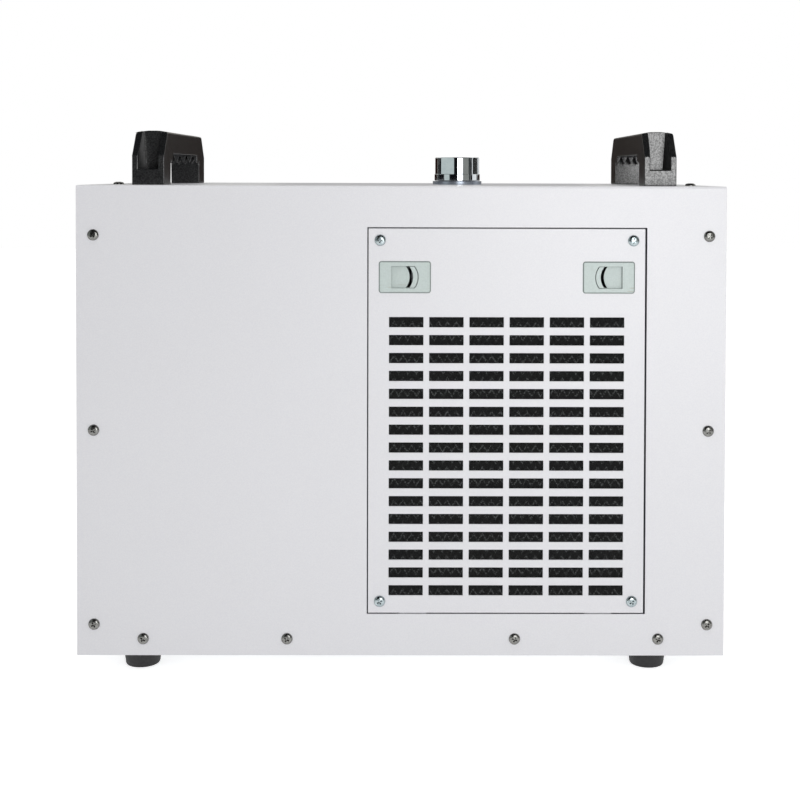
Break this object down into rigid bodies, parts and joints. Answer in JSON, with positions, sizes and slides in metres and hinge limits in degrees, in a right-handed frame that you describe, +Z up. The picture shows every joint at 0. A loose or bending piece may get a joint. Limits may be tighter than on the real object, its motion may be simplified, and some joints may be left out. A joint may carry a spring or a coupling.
{
  "type": "recirculating chiller",
  "caption": "Portable recirculating chiller: sheet-metal cabinet with grip handles, rubber feet, a chromed filler cap and a tilt-out air filter door held by slide latches.",
  "frame": {"origin": "on the floor under the feet, below the middle of the overall length and width", "axes": "+X towards the hose end, -Y towards the filter door, +Z up"},
  "size_m": [0.58, 0.2878, 0.4725],
  "materials": {
    "casing_paint": "fine satin powder coat",
    "zinc_sheet": "zinc-plated sheet",
    "screw_steel": "nickel-plated",
    "door_screw_zinc": "bright zinc-plated",
    "filter_knit": "open knit",
    "latch_plastic": "moulded, satin",
    "handle_plastic": "fine grain",
    "foot_rubber": "moulded",
    "cap_chrome": "polished plating",
    "neck_plastic": "moulded",
    "seal_rubber": "moulded",
    "tank_plastic": "welded sheet",
    "condenser_aluminium": "brazed",
    "fan_plastic": "moulded",
    "motor_black": "satin",
    "evaporator_steel": "pressed plates",
    "copper": "drawn copper",
    "hose_rubber": "smooth",
    "panel_plastic": "fine texture",
    "display_pane": "smoked",
    "key_plastic": "satin",
    "port_brass": "turned",
    "drain_plastic": "moulded",
    "gauge_lens": "clear",
    "pin_metal": "plated",
    "switch_plastic": "moulded"
  },
  "bodies": {
    "casing": {"base_tray": "zinc_sheet", "wrap_cover": "casing_paint", "front_panel": "casing_paint", "rear_panel": "casing_paint", "window_frame": "casing_paint", "side_screws": "screw_steel", "top_screws": "screw_steel", "handle_front": "handle_plastic", "handle_rear": "handle_plastic", "handle_screws": "screw_steel", "foot_front_near": "foot_rubber", "foot_front_far": "foot_rubber", "foot_rear_near": "foot_rubber", "foot_rear_far": "foot_rubber", "foot_screws": "screw_steel", "filler_neck": "neck_plastic", "water_tank": "tank_plastic", "tank_stand": "zinc_sheet", "condenser": "condenser_aluminium", "fan_shroud": "zinc_sheet", "fan_bracket": "zinc_sheet", "fan_motor": "motor_black", "compressor": "motor_black", "compressor_mounts": "seal_rubber", "pump": "motor_black", "evaporator": "evaporator_steel", "filter_drier": "copper", "refrigerant_pipes": "copper", "water_hoses": "hose_rubber", "controller_box": "panel_plastic", "panel_bezel": "panel_plastic", "display_window": "display_pane", "power_box": "panel_plastic", "return_port": "port_brass", "supply_port": "port_brass", "drain_port": "drain_plastic", "level_gauge": "panel_plastic", "gauge_lens": "gauge_lens", "mains_inlet": "panel_plastic", "inlet_pins": "pin_metal", "switch_frame": "switch_plastic"},
    "door": {"filter_door": "casing_paint", "filter_pad": "filter_knit", "pad_frame": "zinc_sheet", "filter_screws": "door_screw_zinc", "latch_body_left": "latch_plastic", "latch_body_right": "latch_plastic"},
    "left_slider": {"latch_slider_left": "latch_plastic"},
    "right_slider": {"latch_slider_right": "latch_plastic"},
    "cap_carrier": {"cap_seal": "seal_rubber"},
    "cap": {"filler_cap": "cap_chrome"},
    "drain_carrier": {"drain_seal": "seal_rubber"},
    "drain_plug": {"drain_cap": "drain_plastic"},
    "fan": {"fan_rotor": "fan_plastic"},
    "rocker": {"power_rocker": "switch_plastic"},
    "set_key": {"key_set": "key_plastic"},
    "up_key": {"key_up": "key_plastic"},
    "down_key": {"key_down": "key_plastic"},
    "reset_key": {"key_reset": "key_plastic"}
  },
  "joints": [
    {"name": "door_tilt", "type": "hinge", "parent": "casing", "child": "door", "pos_m": [0.08105, -0.1415, 0.057], "axis": [1, 0, 0], "range_deg": [0, 30]},
    {"name": "left_latch_slide", "type": "slide", "parent": "door", "child": "left_slider", "axis": [-1, 0, 0], "range_m": [0, 0.007]},
    {"name": "right_latch_slide", "type": "slide", "parent": "door", "child": "right_slider", "axis": [1, 0, 0], "range_m": [0, 0.007]},
    {"name": "cap_lift", "type": "slide", "parent": "casing", "child": "cap_carrier", "axis": [0, 0, 1], "range_m": [0, 0.014]},
    {"name": "cap_turn", "type": "hinge", "parent": "cap_carrier", "child": "cap", "pos_m": [0.0417, 0, 0.4413], "axis": [0, 0, 1], "range_deg": [0, 1440]},
    {"name": "drain_cap_draw", "type": "slide", "parent": "casing", "child": "drain_carrier", "axis": [1, 0, 0], "range_m": [0, 0.012]},
    {"name": "drain_cap_turn", "type": "hinge", "parent": "drain_carrier", "child": "drain_plug", "pos_m": [0.284, 0.03, 0.055], "axis": [1, 0, 0], "range_deg": [0, 2160]},
    {"name": "fan_spin", "type": "hinge", "parent": "casing", "child": "fan", "pos_m": [0.08105, -0.062, 0.22155], "axis": [0, 1, 0], "continuous": true},
    {"name": "rocker_tilt", "type": "hinge", "parent": "casing", "child": "rocker", "pos_m": [0.269, 0.095, 0.185], "axis": [0, -1, 0], "range_deg": [0, 20]},
    {"name": "set_key_press", "type": "slide", "parent": "casing", "child": "set_key", "axis": [1, 0, 0], "range_m": [0, 0.0008], "stiffness_N_per_m": 400},
    {"name": "up_key_press", "type": "slide", "parent": "casing", "child": "up_key", "axis": [1, 0, 0], "range_m": [0, 0.0008], "stiffness_N_per_m": 400},
    {"name": "down_key_press", "type": "slide", "parent": "casing", "child": "down_key", "axis": [1, 0, 0], "range_m": [0, 0.0008], "stiffness_N_per_m": 400},
    {"name": "reset_key_press", "type": "slide", "parent": "casing", "child": "reset_key", "axis": [1, 0, 0], "range_m": [0, 0.0008], "stiffness_N_per_m": 400}
  ],
  "couplings": [
    {"joint": "cap_lift", "follows": "cap_turn", "m_per_rad": 0.000557},
    {"joint": "drain_cap_draw", "follows": "drain_cap_turn", "m_per_rad": 0.0003183}
  ]
}
